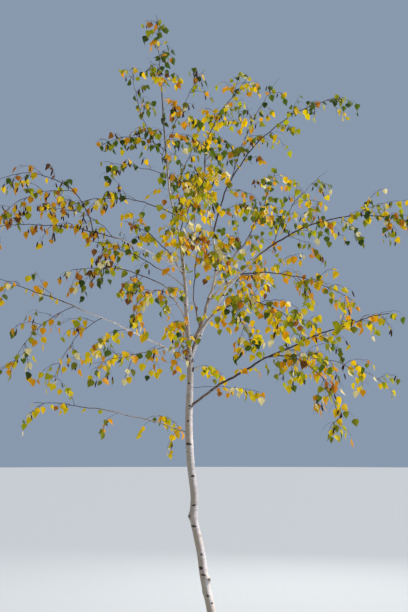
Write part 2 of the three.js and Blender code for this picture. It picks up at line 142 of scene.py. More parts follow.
TWIG_LEAN = (42, 66)
TWIG_DROOP = 0.6
TWIG_SHORTENING = 0.4
TWIG_RANGE = (0.75, 1.15)  # of a twig's length about its limb's own
TREE_SEED = 1907

# Finer growth, for the looks.
FINE_STEP = 11  # between the rings of a limb
TWIG_STEP = 16
TWIG_DIAMETER = (3.2, 1.5)
TWIG_WANDER = (3.0, 90.0)  # how far it strays, and over what length
TWIG_TESTS = (0.15, 0.3, 0.5, 0.7, 0.9)  # shares of its length where it has to be clear of limbs
TWIG_SLACK = 6.0  # how much nearer a twig may come to a limb than a leaf
SPRIG_TIP = 1.3
SHOOT_SPACING = 52  # between the side shoots of a twig
SHOOT_STEP = 22
SHOOT_LENGTH = (55, 125)
SHOOT_DIAMETER = (1.7, 1.0)
SHOOT_LEAN = (35, 60)
SHOOT_DROOP = 0.9
LEAF_SPACING = 25
LEAF_FALL = 0.14  # share that has fallen
LEAF_PAIRS = 0.16  # share that hangs in pairs
LEAFED_SHOOTS = 0.4  # least share of the side shoots that have leaves
LEAF_LENGTH = 48
LEAF_ASPECT = 0.84  # width to length
LEAF_ROOM = 26  # between the middles of two leaves
LEAF_FORMS = 14
LEAF_TRIES = 3
STALK_LENGTH = (11, 20)
STALK_DIAMETER = 1.1
CATKIN_LENGTH = 35
CATKIN_DIAMETER = 9.0
CATKIN_RINGS, CATKIN_SIDES = 15, 8
CATKIN_SHARE = {"left": 0.62, "green": 0.22, "top": 0.12, "right": 0.22}  # of side shoots, or 0.1
SPUR_SPACING = 82  # between short shoots on the bare part of a limb
SPUR_LENGTH = (40, 120)
SPUR_LEAN = (45, 75)
SPUR_ROLL = 40
SPUR_SHARE = 0.8  # of them still there, where all the leaves hang
SPUR_START = {"right_main": 0.62, "low_right": 0.4, "lowest_left": 0.1}  # share of the bare part, or 0.2
TRUNK_SPURS = (2260, 3840)  # heights between which the trunk has short shoots
LIMB_CLEARANCE = 9  # from a leaf to a limb that it doesn't grow on
KNOTS, DARK_RINGS = (40, 55.0, 18), (60, 130.0, 50)  # on limbs: first, spacing, how far each strays
REACH_MARGIN = 2  # everything stays this far inside the solids' box

# Keys that keep the draws for different uses apart.
BETWEEN_KEY = 500
TRUNK_SPUR_KEY = 900
END_KEY = 999
SPUR_KEY = 2000
WANDER_KEY = 7001
KNOT_KEY = 7003
LEAF_KEY = 7100
SPRIG_KEY = 8000

# Autumn tints as sRGB: the face of the leaf, and the light that comes through it.
TINTS = {
    "gold": ("#D8AE04", "#F4CA04"),
    "amber": ("#CC8C0A", "#EEA60A"),
    "lemon": ("#D0B608", "#EAD00C"),
    # pale: partly pale cream leaves, partly painted highlights where leaves catch the light
    "pale": ("#E4D698", "#F6E8AC"),
    "lime": ("#94920E", "#B8BA10"),
    "olive": ("#616614", "#8C9018"),
    "green": ("#3F5418", "#667C1C"),
    "deep": ("#283C16", "#425818"),
    "rust": ("#9A5C18", "#C07A1E"),
    "brown": ("#603C1E", "#845628"),
}
# Weights of the tints in each mood, first those that have all the tints in the same order.
ORDER = "gold lemon pale lime olive amber rust green deep brown".split()
MOODS = {mood: dict(zip(ORDER, weights)) for mood, weights in {
    "gold": (24, 18, 7, 14, 12, 12, 2, 8, 2, 1),
    "olive": (14, 13, 6, 13, 18, 9, 2, 18, 6, 1),
    "mixed": (20, 14, 12, 12, 13, 12, 5, 8, 1, 3),
    "right": (16, 12, 6, 13, 16, 14, 4, 12, 4, 2),
    "green": (11, 8, 4, 9, 15, 13, 5, 22, 12, 1),
    "left": (19, 11, 6, 9, 10, 22, 9, 6, 2, 5),
}.items()}
MOODS["lemon"] = dict(lemon=30, gold=20, lime=16, pale=8)
MOODS["deep"] = dict(deep=20, green=30, olive=12)
MOODS["rusty"] = dict(rust=14, amber=22, brown=8, olive=8, gold=10)
MOODS["top"] = dict(gold=12, lemon=7, pale=3, amber=11, rust=7, brown=3, olive=15, lime=7, green=21, deep=16)
SPRAY_LOYALTY = 0.62  # share of a spray's leaves that have its own tint
LEAF_GLOW = 0.42  # share of a leaf's light that comes through it

# How white a limb's bark is near its parent, and the share of its length that is. Others are brown.
WHITE_BARK = {
    "centre": (0.33, 1.3), "right_main": (1.0, 0.42), "low_left": (0.95, 0.6), "left_main": (1.0, 0.36),
    "lowest_left": (0.6, 0.6), "left_middle": (0.6, 0.3), "left_back": (0.6, 0.3), "inner": (0.3, 0.4),
    "centre_high": (0.74, 0.45), "centre_right": (0.5, 0.3), "front_left": (0.6, 0.3),
    "front_right": (0.5, 0.3), "back_left": (0.5, 0.3), "back_right": (0.4, 0.3), "low_right": (0.25, 0.2),
    "low_left_side": (0.3, 0.3),
}
WHITER_UP = {"centre": 0.4}  # what a limb's bark gains on that by its end

# Small shoots: parent, place along it, azimuth, rise, rise at the end, length, diameter,
# share that is bare, mood, and how many catkins hang from it.
SPRIGS = [
    ("trunk", 1963, -12, 6, -14, 440, 3.4, 0.32, "gold", 3),
    ("lowest_left", 75, 215, -40, -85, 125, 2.2, 0.25, "lemon", 2),
    ("lowest_left", 480, 190, -10, -80, 150, 2.2, 0.3, "gold", 1),
    ("right_main", 1520, -8, 34, -12, 400, 3.4, 0.2, "gold", 1),
    ("right_main", 1700, 20, 30, -30, 230, 2.8, 0.1, "green", 0),
    ("right_main", 1790, -60, -10, -60, 150, 2.4, 0.1, "rusty", 1),
    ("upper_right", 1250, -10, 20, -25, 240, 2.6, 0.1, "deep", 0),
    ("upper_right", 150, -42, 34, -40, 340, 3.2, 0.12, "gold", 2),
    ("trunk", 2290, 104, 38, -18, 640, 4.6, 0.3, "gold", 2),
    ("trunk", 2065, 66, 24, -26, 560, 4.4, 0.3, "gold", 1),
    ("lowest_left", 300, 62, 18, -34, 480, 3.6, 0.25, "gold", 1),
    ("low_left", 430, 125, 12, -36, 520, 3.6, 0.2, "gold", 1),
    ("upper_right", 330, 25, 22, -50, 320, 3.0, 0.12, "olive", 1),
    ("leader", 60, -30, 60, 10, 110, 2.2, 0.1, "top", 0),
    ("leader", 130, 150, 62, 20, 90, 2.2, 0.1, "deep", 0),
    ("leader", 200, -70, 60, 0, 100, 2.2, 0.1, "top", 0),
    ("leader", 270, 20, 64, 20, 90, 2.2, 0.1, "deep", 0),
    ("leader", 345, 200, 60, 10, 90, 2.0, 0.1, "top", 0),
    ("leader", 415, -40, 55, 0, 80, 2.0, 0.1, "deep", 0),
    ("left_middle", 640, 150, -25, -80, 190, 2.4, 0.05, "deep", 0),
    ("left_middle", 560, 255, -10, -75, 170, 2.4, 0.1, "deep", 0),
    ("upper_right_fork", 740, 30, 62, 48, 150, 2.4, 1, "green", 0),
    ("right_rising", 670, 10, 50, 30, 120, 2.4, 1, "green", 0),
]

# Scars on the trunk: height, azimuth, half width, half height, depth of the mark, height of its knob.
SCARS = [
    (1853, -80, 9, 5, 0.8, 0), (1763, -104, 10, 6, 0.8, 0), (1625, -108, 21, 8, 0.95, 1),
    (1436, -74, 13, 6, 1.0, 1), (1266, -92, 11, 5, 1.0, 0), (1200, -150, 15, 12, 0.6, 12),
    (1144, -108, 20, 6, 0.95, 1), (983, -83, 11, 5, 0.9, 0), (903, -118, 13, 11, 0.95, 1),
    (866, -94, 17, 6, 1.0, 1), (838, -38, 15, 11, 0.62, 17), (748, -92, 12, 10, 0.7, 0),
    (705, -55, 13, 7, 0.8, 0), (560, -100, 13, 5, 0.8, 0), (455, -55, 13, 6, 0.9, 1),
    (300, -130, 15, 7, 0.9, 1), (1520, 30, 12, 6, 0.9, 1), (1330, 95, 14, 7, 0.9, 4),
    (1050, 60, 14, 7, 1.0, 2), (760, 130, 16, 9, 0.9, 6), (420, 75, 15, 7, 0.9, 2),
    (1700, -30, 9, 4, 0.7, 0), (2010, 70, 10, 5, 0.8, 0), (1910, 170, 12, 6, 0.8, 1),
    (1400, 175, 11, 5, 0.8, 0), (620, 160, 13, 6, 0.9, 1), (1580, -140, 9, 4, 0.7, 0),
    (200, -80, 15, 7, 0.8, 0), (1090, -40, 9, 4, 0.7, 0), (1990, -112, 10, 5, 0.8, 0),
    (2155, -75, 12, 6, 0.8, 0), (2330, -110, 9, 4, 0.8, 0),
]


class Draws:
    """Seeded draws between 0 and 1, the same as the solids' own for the same keys."""

    WORD = 0xFFFFFFFF
    KEY_FACTOR, KEY_STEP, STEP = 0x9E3779B1, 0x7F4A7C15, 0x6D2B79F5

    def __init__(self, *keys):
        self.state = TREE_SEED
        for key in keys:
            mixed = (self.state ^ (key + 1)) * self.KEY_FACTOR
            self.state = (mixed + self.KEY_STEP) & self.WORD

    def __call__(self, low=0.0, high=1.0):
        self.state = (self.state + self.STEP) & self.WORD
        t = ((self.state ^ (self.state >> 15)) * (self.state | 1)) & self.WORD
        t = (t + (t ^ (t >> 7)) * (t | 61)) & self.WORD ^ t
        return low + (high - low) * ((t ^ (t >> 14)) & self.WORD) / (self.WORD + 1)

    def pick(self, weights):
        place = self() * sum(weights.values())
        for name, weight in weights.items():
            place -= weight
            if place < 0:
                return name
        return name


def vector(*values):
    return np.array(values, float)


DOWN = vector(0, 0, -1)
LEVEL = vector(1, 0, 0)


def unit(v):
    return v / np.linalg.norm(v)


def mix(a, b, t):
    return a + (b - a) * t


def ramp(value, low, high):
    t = np.clip((value - low) / (high - low), 0, 1)
    return t * t * (3 - 2 * t)


class Line:
    """A line of points with its running lengths, read anywhere along it."""

    def __init__(self, points):
        self.points = np.array(points, float)
        steps = np.linalg.norm(np.diff(self.points, axis=0), axis=1)
        self.lengths = np.concatenate([[0], np.cumsum(steps)])
        self.total = self.lengths[-1]

    def at(self, s):
        i = min(max(int(np.searchsorted(self.lengths, s)), 1), len(self.points) - 1)
        t = (s - self.lengths[i - 1]) / (self.lengths[i] - self.lengths[i - 1])
        return mix(self.points[i - 1], self.points[i], t)

    def along(self, s):
        return unit(self.at(min(self.total, s + 20)) - self.at(max(0, s - 20)))


def trunk_at(heights):
    """The trunk's axis and diameter at the given heights, as columns x, y, z, diameter."""
    heights = np.atleast_1d(np.asarray(heights, float))
    last = len(TRUNK) - 1
    i = np.clip(np.searchsorted(TRUNK[:, 0], heights), 1, last)
    rows = [TRUNK[np.clip(i + k, 0, last)] for k in (-2, -1, 0, 1)]
    span = (rows[2][:, 0] - rows[1][:, 0])[:, None]
    t = (heights[:, None] - rows[1][:, :1]) / span

    def slope(a, b):
        return (b[:, 1:] - a[:, 1:]) / (b[:, :1] - a[:, :1]) * span

    values = ((2 * t**3 - 3 * t**2 + 1) * rows[1][:, 1:]
              + (t**3 - 2 * t**2 + t) * slope(rows[0], rows[2])
              + (3 * t**2 - 2 * t**3) * rows[2][:, 1:]
              + (t**3 - t**2) * slope(rows[1], rows[3]))
    return np.column_stack([values[:, 0], values[:, 1], heights, values[:, 2]])


def arc_of(limb, start):
    """A limb's line by the solids' rule: its azimuth swings and its rise changes along it."""
    points = [start]
    for i in range(LIMB_STEPS):
        s = (i + 0.5) / LIMB_STEPS
        azimuth = radians(limb.azimuth + limb.swing * s)
        bend = s ** LATE_BEND.get(limb.name, 1)
        rise = radians(mix(limb.rise, limb.rise_end, bend))
        step = vector(cos(rise) * cos(azimuth), cos(rise) * sin(azimuth), sin(rise))
        points.append(points[-1] + step * limb.length / LIMB_STEPS)
    return Line(points)


def smoothed(points, step):
    """A curve through the points, read about every step."""
    points = np.array(points, float)
    padded = np.vstack([2 * points[0] - points[1], points, 2 * points[-1] - points[-2]])
    fine = [points[:1]]
    for i in range(len(points) - 1):
        p0, p1, p2, p3 = padded[i:i + 4]
        n = max(1, ceil(np.linalg.norm(p2 - p1) / step))
        t = (np.arange(1, n + 1) / n)[:, None]
        fine.append(0.5 * (2 * p1 + (p2 - p0) * t + (2 * p0 - 5 * p1 + 4 * p2 - p3) * t**2
                           + (3 * p1 - p0 - 3 * p2 + p3) * t**3))
    return np.vstack(fine)


WANDER_WAVES = ((1.0, 1.0), (0.45, 0.43), (0.2, 0.19))  # share and relative length of each
WANDER_REACH = 0.6
WANDER_EASE = 0.4  # of a wave, until the wander is in full


def wandering(points, draw, reach, wave):
    """The points with a slight seeded wander that starts from nothing at the root."""
    lengths = Line(points).lengths
    along = unit(points[-1] - points[0])
    across = unit(np.cross(along, vector(0.3, 0.2, 1) if abs(along[2]) < 0.9 else LEVEL))
    beside = np.cross(along, across)
    ease = np.clip(lengths / (WANDER_EASE * wave), 0, 1)
    moved = points.copy()
    for axis in (across, beside):
        for share, scale in WANDER_WAVES:
            bend = np.sin(lengths / (wave * scale) * 2 * pi + draw(0, 2 * pi))
            moved += axis * (reach * share * WANDER_REACH * ease * bend)[:, None]
    return moved


def rolled_side(along, degrees):
    """A direction square to along, turned about it from level."""
    level = unit(np.cross(along, LEVEL if abs(along[2]) > 0.95 else DOWN))
    upper = np.cross(level, along)
    roll = radians(degrees)
    return level * cos(roll) + upper * sin(roll)


def level_side(along, right):
    side = unit(np.cross(along, DOWN) + LEVEL * 1e-3)
    return side if right else -side


def leaning(along, side, degrees):
    lean = radians(degrees)
    return along * cos(lean) + side * sin(lean)


def twig_line(limb, place, count, draw):
    """The points of a side twig by the solids' rule, from its limb's finer curve."""
    share = (place + 0.35 + 0.3 * draw()) / count
    s = mix(limb.bare_to, limb.length, share)
    along = limb.line.along(s)
    side = rolled_side(along, GOLDEN_ANGLE * place + LIMB_ROLL * limb.index)
    first = leaning(along, side, mix(*TWIG_LEAN, draw()))
    length = limb.spread * (1 - TWIG_SHORTENING * share) * mix(*TWIG_RANGE, draw())
    return drooping(on_curve(limb, s), first, unit(first + DOWN * TWIG_DROOP), length, TWIG_STEP)


def drooping(start, first, second, length, step):
    """Points of a twig whose heading turns evenly from before first to past second."""
    n = max(3, ceil(length / step))
    points = [start]
    for i in range(n):
        u = ((i + 0.5) / n - 0.25) / 0.5
        points.append(points[-1] + unit(first * (1 - u) + second * u) * length / n)
    return np.array(points)


def on_curve(limb, s):
    return limb.curve.at(s * limb.curve.total / limb.line.total)


TRUNK_RINGS = 1000
LIMB_WANDER = (6.0, 0.009)  # how far a limb strays: at most, and as a share of its length
LIMB_WAVE = (330.0, 0.35)  # over what length: at most, and as a share of its own

trunk_rows = trunk_at(np.linspace(0, TRUNK[-1, 0], TRUNK_RINGS))
limbs = {}
for index, row in enumerate(LIMBS):
    limb = SimpleNamespace(**dict(zip(FIELDS, row)), index=index)
    parent = limbs.get(limb.parent)
    limb.seed = index + 100 * (limb.name in REDRAWN)
    start = parent.line.at(limb.at) if parent else trunk_at(limb.at)[0, :3]
    limb.line = arc_of(limb, start)
    limb.bare_to = limb.length * limb.bare
    curve = smoothed(limb.line.points, FINE_STEP)
    if parent:
        curve += on_curve(parent, limb.at) - start
    reach, wave = (min(most, share * limb.length) for most, share in (LIMB_WANDER, LIMB_WAVE))
    limb.curve = Line(wandering(curve, Draws(index, WANDER_KEY), reach, wave))
    limbs[limb.name] = limb


def radius_on(limb, s):
    return mix(limb.base, limb.tip, s / limb.length) / 2


# Meshes.


def placed(name, data):
    """A new object in the scene."""
    made = bpy.data.objects.new(name, data)
    scene.collection.objects.link(made)
    return made


class Pile:
    """Vertices and faces of one joined piece, with named numbers for each vertex."""

    def __init__(self):
        self.points, self.faces, self.values, self.count = [], [], {}, 0

    def add(self, points, faces, **values):
        self.faces.append(np.asarray(faces) + self.count)
        self.points.append(points)
        self.count += len(points)
        for name, value in values.items():
            self.values.setdefault(name, []).append(np.broadcast_to(value, len(points)))

    def piece(self, name, material, slot, start):
        """The whole pile as one object, which stands for the nodes whose names have this start."""
        mesh = bpy.data.meshes.new(name)
        points = np.vstack(self.points) * MM
        faces = [tuple(v for v in face if v >= 0) for group in self.faces for face in group.tolist()]
        mesh.from_pydata(points.tolist(), [], faces)
        for key, parts in self.values.items():
            layer = mesh.attributes.new(key, "FLOAT", "POINT")
            layer.data.foreach_set("value", np.concatenate(parts).astype(np.float32))
        mesh.polygons.foreach_set("use_smooth", [True] * len(mesh.polygons))
        mesh.materials.append(material)
        mesh.update()
        piece = placed(name, mesh)
        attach(piece, "root")
        nodes = [node for node in frame["nodes"] if node.startswith(start)]
        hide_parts(*nodes)


NONE = -10**9  # marks the missing fourth corner of a three-sided face


def tube_faces(rings, sides):
    """Quads between rings, a fan at the foot and a fan to the single last point."""
    i = np.arange(sides)
    j = (i + 1) % sides
    walls = [np.column_stack([r * sides + i, r * sides + j, (r + 1) * sides + j, (r + 1) * sides + i])
             for r in range(rings - 1)]
    foot = np.column_stack([j, i, np.full(sides, rings * sides), np.full(sides, NONE)])
    top = (rings - 1) * sides
    tip = np.column_stack([top + i, top + j, np.full(sides, rings * sides + 1), np.full(sides, NONE)])
    return np.vstack(walls + [foot, tip])


def tube(points, radii, sides):
    """Points and faces of a closed round tube along the points, kept from twisting."""
    points = np.asarray(points, float)
    radii = np.broadcast_to(radii, len(points))
    heading = np.gradient(points, axis=0)
    heading /= np.linalg.norm(heading, axis=1)[:, None]
    across = unit(np.cross(heading[0], -DOWN if abs(heading[0][2]) < 0.9 else LEVEL))
    turns = np.arange(sides) * 2 * pi / sides
    rings = []
    for centre, along, radius in zip(points, heading, radii):
        across = unit(across - along * across.dot(along))
        beside = np.cross(along, across)
        ring = np.cos(turns)[:, None] * across + np.sin(turns)[:, None] * beside
        rings.append(centre + radius * ring)
    ends = [points[0], points[-1] + heading[-1] * radii[-1] * 0.4]
    return np.vstack(rings + [ends]), tube_faces(len(points), sides)


def spread_over(sides, values):
    """A value for each ring as a value for each point of its tube."""
    return np.append(np.repeat(values, sides), [values[0], values[-1]])


# The trunk.

TRUNK_SIDES = 44
BARK_FOOT = (430, 40)  # heights between which the foot's cracked bark sets in
BROAD, FINE, BAND, FURROW = (0.012, 0.006), (0.07, 0.30), (0.02, 0.09), (0.05, 0.014)  # across and along


def hump(side, wide, up, high):
    return np.exp(-(side / wide) ** 2 - (up / high) ** 2)


def limb_marks(side, up, thick):
    """Mark and swelling where a limb leaves: a dark moustache over a swollen collar."""
    moustache = hump(up - 0.4 * thick - 2 + 0.75 * np.abs(side), 2.4 + 0.4 * thick, side, 3.6 * thick + 6)
    socket = hump(side, 1.2 * thick + 2, up, 1.3 * thick + 2)
    collar = hump(side, 1.6 * thick + 3, up + 0.3 * thick, 2.2 * thick + 4)
    return np.maximum(0.95 * moustache, 0.55 * socket), collar * 0.22 * thick + 0.7 * moustache


def scar_marks(side, up, wide, high, depth, knob):
    """Mark and swelling of a scar: a sunken eye and its brow, a raised rim, and a knob on some."""
    eye = np.exp(-((side / wide) ** 2 + (up / high) ** 2) ** 1.5)
    brow = hump(up + 0.55 * np.abs(side) - high, 3.0, side, 1.8 * wide)
    rim = hump(side, 1.6 * wide, up, 2.1 * high)
    lump = hump(side, 1.25 * wide, up, 1.7 * high)
    mark = depth * np.maximum.reduce([eye, 0.85 * brow, 0.44 * rim])
    return mark, depth * (2.2 * rim - 1.8 * eye) + knob * lump


def painted_trunk_shade(turns, height):
    """Painted shade on the trunk's bark: on the side away from the sun, most at its front, and near the
    ground.
    """
    away = ramp(-np.cos(turns - radians(-5)), -0.6, 0.0)
    front_left = ramp(np.cos(turns - radians(-140)), 0.1, 0.8)
    return np.maximum(away * mix(0.3, 1.0, front_left), 0.6 * ramp(-height, -850, -550))


def bark_noise(place, grain, aside=0):
    across, along = grain
    return noise.noise((place[0] * across + aside, place[1] * across, place[2] * along))


def trunk_pile():
    turns = np.arange(TRUNK_SIDES) * 2 * pi / TRUNK_SIDES
    height = trunk_rows[:, 2][:, None]
    half = trunk_rows[:, 3][:, None] / 2
    lobes = 1 + FLARE_LOBE_DEPTH * np.cos(FLARE_LOBES * turns)
    radius = half + FLARE * np.exp(-height / FLARE_HEIGHT) * lobes
    mark, swell, foot = (np.zeros_like(radius) for _ in range(3))
    marked = [(limb_marks, limb.at, limb.azimuth, limb.base / 2) for limb in limbs.values()
              if limb.parent == "trunk" and limb.name != "leader"]
    marked += [(scar_marks, *scar) for scar in SCARS]
    for marks_of, at, azimuth, *form in marked:
        turned = (turns - radians(azimuth) + pi) % (2 * pi) - pi
        dark, raised = marks_of(turned[None, :] * half, height - at, *form)
        mark = np.maximum(mark, dark)
        swell += raised
    points = np.empty((len(trunk_rows), TRUNK_SIDES, 3))
    for i, (x, y, z, _) in enumerate(trunk_rows):
        grow = min(1.0, half[i, 0] / 22)
        for j, turn in enumerate(turns):
            c, s = cos(turn), sin(turn)
            on = (x + c * half[i, 0], y + s * half[i, 0], z)
            broad = bark_noise(on, BROAD)
            foot[i, j] = ramp(-z, -BARK_FOOT[0], -BARK_FOOT[1]) * min(1.0, max(0.0, 0.75 + 0.9 * broad))
            relief = 1.1 * broad + 0.28 * bark_noise(on, FINE) + 0.35 * max(0.0, bark_noise(on, BAND, 50))
            swell[i, j] += grow * relief
            swell[i, j] -= 2.4 * foot[i, j] * max(0.0, 1 - abs(bark_noise(on, FURROW)) * 5)
            r = radius[i, j] + swell[i, j]
            points[i, j] = (x + c * r, y + s * r, z)
    points[0, :, 2] = 0
    ends = [trunk_rows[0, :3], trunk_rows[-1, :3] + vector(0, 0, 2)]
    # the shade values are painted shade: darker on the side away from the sun and near the ground
    values = dict(mark=np.clip(mark, 0, 1), foot=foot, white=ramp(half, 3.0, 7.0),
                  painted_shade=painted_trunk_shade(turns, height))
    values = {key: np.append(np.broadcast_to(value, radius.shape), [0, 0]) for key, value in values.items()}
    pile = Pile()
    pile.add(np.vstack([points.reshape(-1, 3), ends]), tube_faces(len(trunk_rows), TRUNK_SIDES), **values)
    return pile


# Limbs, twigs, leaves and catkins.

boughs = Pile()
twigs = Pile()
stalks = Pile()
catkins = Pile()
leaves = {tint: Pile() for tint in TINTS}
LOW = np.array(cad_low) / MM + REACH_MARGIN
HIGH = np.array(cad_high) / MM - REACH_MARGIN

marks, clearances = [], []
for x, y, z, diameter in trunk_rows[::3]:
    marks.append((x, y, z))
    clearances.append(diameter / 2 + LIMB_CLEARANCE)
for limb in limbs.values():
    for s in np.arange(0, max(limb.bare_to, 1), 9.0):
        marks.append(tuple(on_curve(limb, s)))
        clearances.append(radius_on(limb, s) + LIMB_CLEARANCE)
limb_tree = KDTree(len(marks))
for i, place in enumerate(marks):
    limb_tree.insert(place, i)
limb_tree.balance()


def inside(points):
    return ((points > LOW) & (points < HIGH)).all()


def clear_of_limbs(point, slack=0.0):
    _, i, distance = limb_tree.find(point)
    return distance > clearances[i] - slack


class Crowd:
    """Places already taken, in cells, to keep new ones apart."""

    def __init__(self, room):
        self.room, self.cells = room, {}

    def cell(self, point):
        return tuple(int(v // self.room) for v in point)

    def free(self, point):
        around = itertools.product(*((c - 1, c, c + 1) for c in self.cell(point)))
        near = (other for cell in around for other in self.cells.get(cell, ()))
        return all(sum((a - b) ** 2 for a, b in zip(point, other)) >= self.room**2 for other in near)

    def take(self, point):
        self.cells.setdefault(self.cell(point), []).append(tuple(point))


crowd = Crowd(LEAF_ROOM)

# A birch leaf: half width at places along it, widest at a third, with a long drawn-out tip.
OUTLINE = np.array([
    (0.0, 0.02), (0.03, 0.17), (0.08, 0.30), (0.15, 0.41), (0.23, 0.475), (0.31, 0.50), (0.40, 0.485),
    (0.49, 0.44), (0.58, 0.375), (0.67, 0.295), (0.76, 0.205), (0.85, 0.12), (0.93, 0.055), (1.0, 0.0),
])
ACROSS = np.array([-1.0, -0.5, 0.0, 0.5, 1.0])
BLADE_MIDDLE = 27
BLADE_TESTS = [2, 20, 24, BLADE_MIDDLE, 45, 49, 65]  # points that tell whether a blade has room


def leaf_form(draw):
    """One blade of unit length as points and faces: folded on its rib, curled and toothed."""
    fold = draw(0.12, 0.42)
    curl = draw(-0.10, 0.32)
    twist = draw(-0.25, 0.25)
    draw()  # unused: it keeps the draws that follow in their order
    points = []
    for row, (t, half) in enumerate(OUTLINE[:-1]):
        tooth = 1 + (0.055 if row % 2 else -0.045) * (row > 1)
        for a in ACROSS:
            reach = tooth * draw(0.98, 1.02) if abs(a) == 1 else 1
            y = a * half * reach * cos(0.6 * fold)
            z = fold * abs(a) * half * 0.9 - curl * t * t + twist * a * half * t
            points.append((t - 0.04 * abs(a) * half, y, z + 0.012 * (-1) ** row * abs(a)))
    points.append((1.0, 0.0, -curl))
    rows, columns = len(OUTLINE) - 1, len(ACROSS)
    corners = [r * columns + c for r in range(rows - 1) for c in range(columns - 1)]
    faces = [(a, a + columns, a + columns + 1, a + 1) for a in corners]
    last = (rows - 1) * columns
    faces += [(a, rows * columns, a + 1, NONE) for a in range(last, last + columns - 1)]
    return np.array(points), np.array(faces)


leaf_forms = [leaf_form(Draws(LEAF_KEY, i)) for i in range(LEAF_FORMS)]


def stray(draw, wide, low, high):
    """A small push, as far to any side, and from low to high."""
    return vector(draw(-wide, wide), draw(-wide, wide), draw(low, high))


def frame_about(direction, turn):
    """Two axes square to a direction, turned about it."""
    a = unit(np.cross(direction, LEVEL if abs(direction[2]) > 0.8 else -DOWN))
    b = np.cross(direction, a)
    return a * cos(turn) + b * sin(turn), b * cos(turn) - a * sin(turn)


def hang_leaf(point, away, tint, draw, size=1.0):
    """A leaf on its stalk, hanging from a twig, if there is room for it."""
    for _ in range(LEAF_TRIES):
        stalk = draw(*STALK_LENGTH)
        out = unit(away * 0.8 + DOWN * draw(0.1, 0.7) + stray(draw, 0.3, -0.1, 0.2))
        joint = point + out * stalk
        hang = unit(out * 0.35 + DOWN * draw(0.45, 1.0) + stray(draw, 0.35, -0.1, 0.25))
        length = LEAF_LENGTH * size * draw(0.74, 1.12)
        beside, normal = frame_about(hang, draw(0, 2 * pi))
        form, faces = leaf_forms[int(draw() * len(leaf_forms))]
        width = length * LEAF_ASPECT * draw(0.92, 1.08)
        blade = joint + form[:, :1] * length * hang + form[:, 1:2] * width * beside
        blade += form[:, 2:] * length * normal
        tests = blade[BLADE_TESTS]
        middle = blade[BLADE_MIDDLE]
        if inside(tests) and crowd.free(middle) and all(clear_of_limbs(p) for p in tests):
            crowd.take(middle)
            leaves[tint].add(blade, faces)
            bend = point + out * stalk * 0.5 + vector(0, 0, 1.2)
            path = [point - out * 0.4, bend, joint, joint + hang * length * 0.05]
            stalks.add(*tube(path, np.array([0.75, 0.5, 0.5, 0.4]) * STALK_DIAMETER, 3))
            return


def hang_catkin(line, share, draw):
    """A ripe catkin: a scaly spindle on a short stalk."""
    point = line.at(line.total * share)
    out = unit(DOWN + vector(draw(-0.45, 0.45), draw(-0.45, 0.45), 0))
    length = CATKIN_LENGTH * draw(0.75, 1.15)
    start = point + out * draw(5, 10)
    t = np.linspace(0, 1, CATKIN_RINGS)
    bow = unit(np.cross(out, vector(draw(-1, 1), draw(-1, 1), 0.1))) * draw(-0.12, 0.12)
    path = start + t[:, None] * length * out + (t * t)[:, None] * length * bow
    if not (inside(path) and clear_of_limbs(path[CATKIN_RINGS // 2])):
        return
    plump = np.sin(np.clip(t * 0.93 + 0.055, 0, 1) * pi) ** 0.45
    form, faces = tube(path, plump * CATKIN_DIAMETER / 2 * draw(0.85, 1.1), CATKIN_SIDES)
    ring, around = np.divmod(np.arange(CATKIN_RINGS * CATKIN_SIDES), CATKIN_SIDES)
    scale = 1 + 0.16 * np.where((around + ring) % 2 == 0, 1, -1) * (ring > 0)
    centres = np.repeat(path, CATKIN_SIDES, axis=0)
    form[:-2] = centres + (form[:-2] - centres) * scale[:, None]
    catkins.add(form, faces)
    stalks.add(*tube([point, point + out * 4, start + out * 1.5], 0.5, 3))


def catkin_share(limb):
    return CATKIN_SHARE.get(limb.mood, 0.1)


def leaf_run(line, start, sparse, limb, draw):
    """Leaves on alternate sides of a twig from a share of it on, with some of them fallen."""
    start *= line.total
    spray = draw.pick(MOODS[limb.mood])
    count = max(1, int(round((line.total - start) / (LEAF_SPACING * sparse) * limb.leafy)))
    turned = draw() < 0.5
    for i in range(count + 1):
        s = mix(start, line.total * 0.99, i / count)
        fallen = draw() < LEAF_FALL
        own = draw() < SPRAY_LOYALTY
        tint = spray if own else draw.pick(MOODS[limb.mood])
        if fallen:
            continue
        along = line.along(s)
        side = level_side(along, (i % 2) == turned)
        away = side * draw(0.5, 1.0) + along * draw(0.3, 0.9)
        if i == count:
            away = along
        hang_leaf(line.at(s), away, tint, draw)
        if draw() < LEAF_PAIRS * limb.leafy:
            hang_leaf(line.at(s), -away, tint, draw, 0.85)


def grow_shoot(start, first, length, droop=SHOOT_DROOP, step=SHOOT_STEP):
    """A thin shoot's line, or none where it would leave the box or run into a limb."""
    shoot = drooping(start, first, unit(first + DOWN * droop), length, step)
    if not inside(shoot) or not clear_of_limbs(shoot[-1]):
        return None
    twigs.add(*tube(shoot, mix(*SHOOT_DIAMETER, np.linspace(0, 1, len(shoot))) / 2, 4))
    return Line(shoot)


